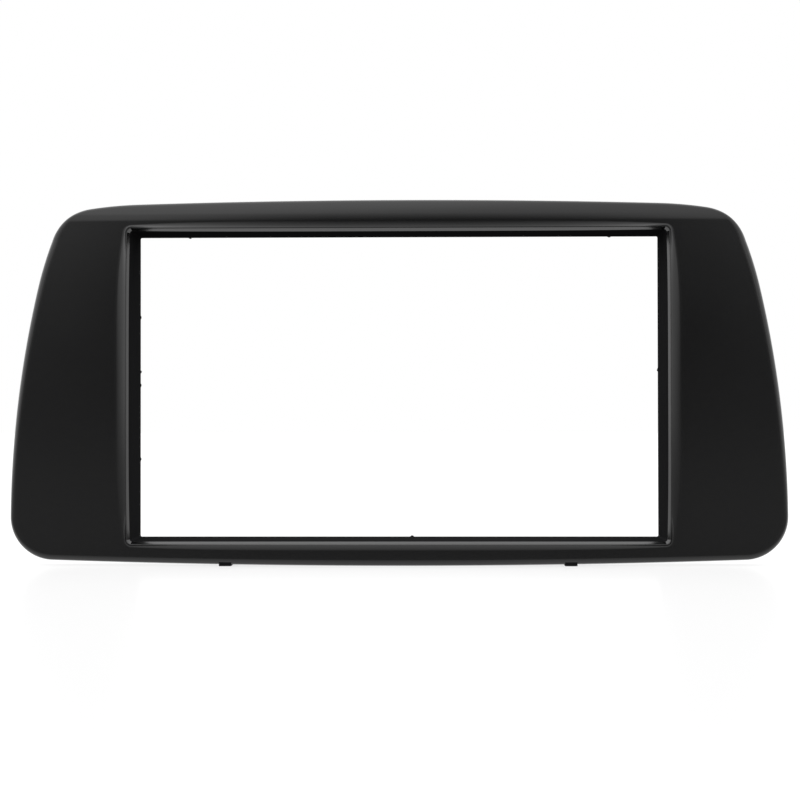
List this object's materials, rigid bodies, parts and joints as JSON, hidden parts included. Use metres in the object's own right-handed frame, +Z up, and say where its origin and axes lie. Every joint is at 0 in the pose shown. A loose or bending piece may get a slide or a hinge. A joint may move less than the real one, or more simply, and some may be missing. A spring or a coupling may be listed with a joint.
{
  "type": "car radio mounting frame",
  "caption": "Dashboard surround for a double-height car radio: crowned face, raised lip round a rectangular opening, rear collar, webbed skirt, feet and snap hooks.",
  "frame": {"origin": "bottom centre of the frame's box, on the surface that its feet stand on", "axes": "+X to the right seen from the front, +Y from the face towards the back, +Z up"},
  "size_m": [0.2588, 0.024, 0.1221],
  "materials": {
    "black_plastic": "fine moulded grain with a soft sheen"
  },
  "bodies": {
    "root": {"mounting_frame": "black_plastic"}
  },
  "joints": []
}
